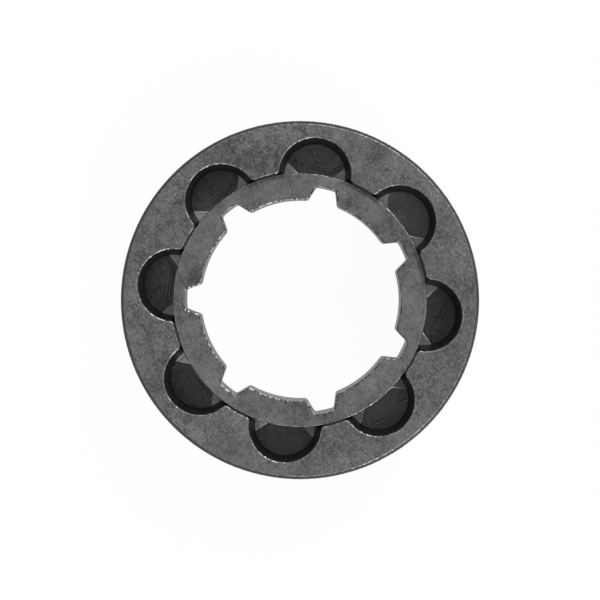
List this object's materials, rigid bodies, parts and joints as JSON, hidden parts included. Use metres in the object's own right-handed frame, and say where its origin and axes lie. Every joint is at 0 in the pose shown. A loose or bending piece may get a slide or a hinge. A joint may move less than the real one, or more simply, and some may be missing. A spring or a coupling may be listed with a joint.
{
  "type": "chainsaw rim sprocket",
  "caption": "Toothed drive ring for a chainsaw: slides on a splined hub and carries the chain's drive tangs in a channel between two rims, with D-shaped windows in one face.",
  "frame": {"origin": "centre of the plain rear face, on the axis of the splined bore", "axes": "+Z along the bore's axis, out of the face with the windows; +X through the middle of one window, one gullet and one spline slot"},
  "size_m": [0.04, 0.04, 0.014],
  "materials": {
    "cast_steel": "as-cast dark grey, fine mottled grain, thin bright wear on edges"
  },
  "bodies": {
    "root": {"rim_sprocket": "cast_steel"}
  },
  "joints": []
}
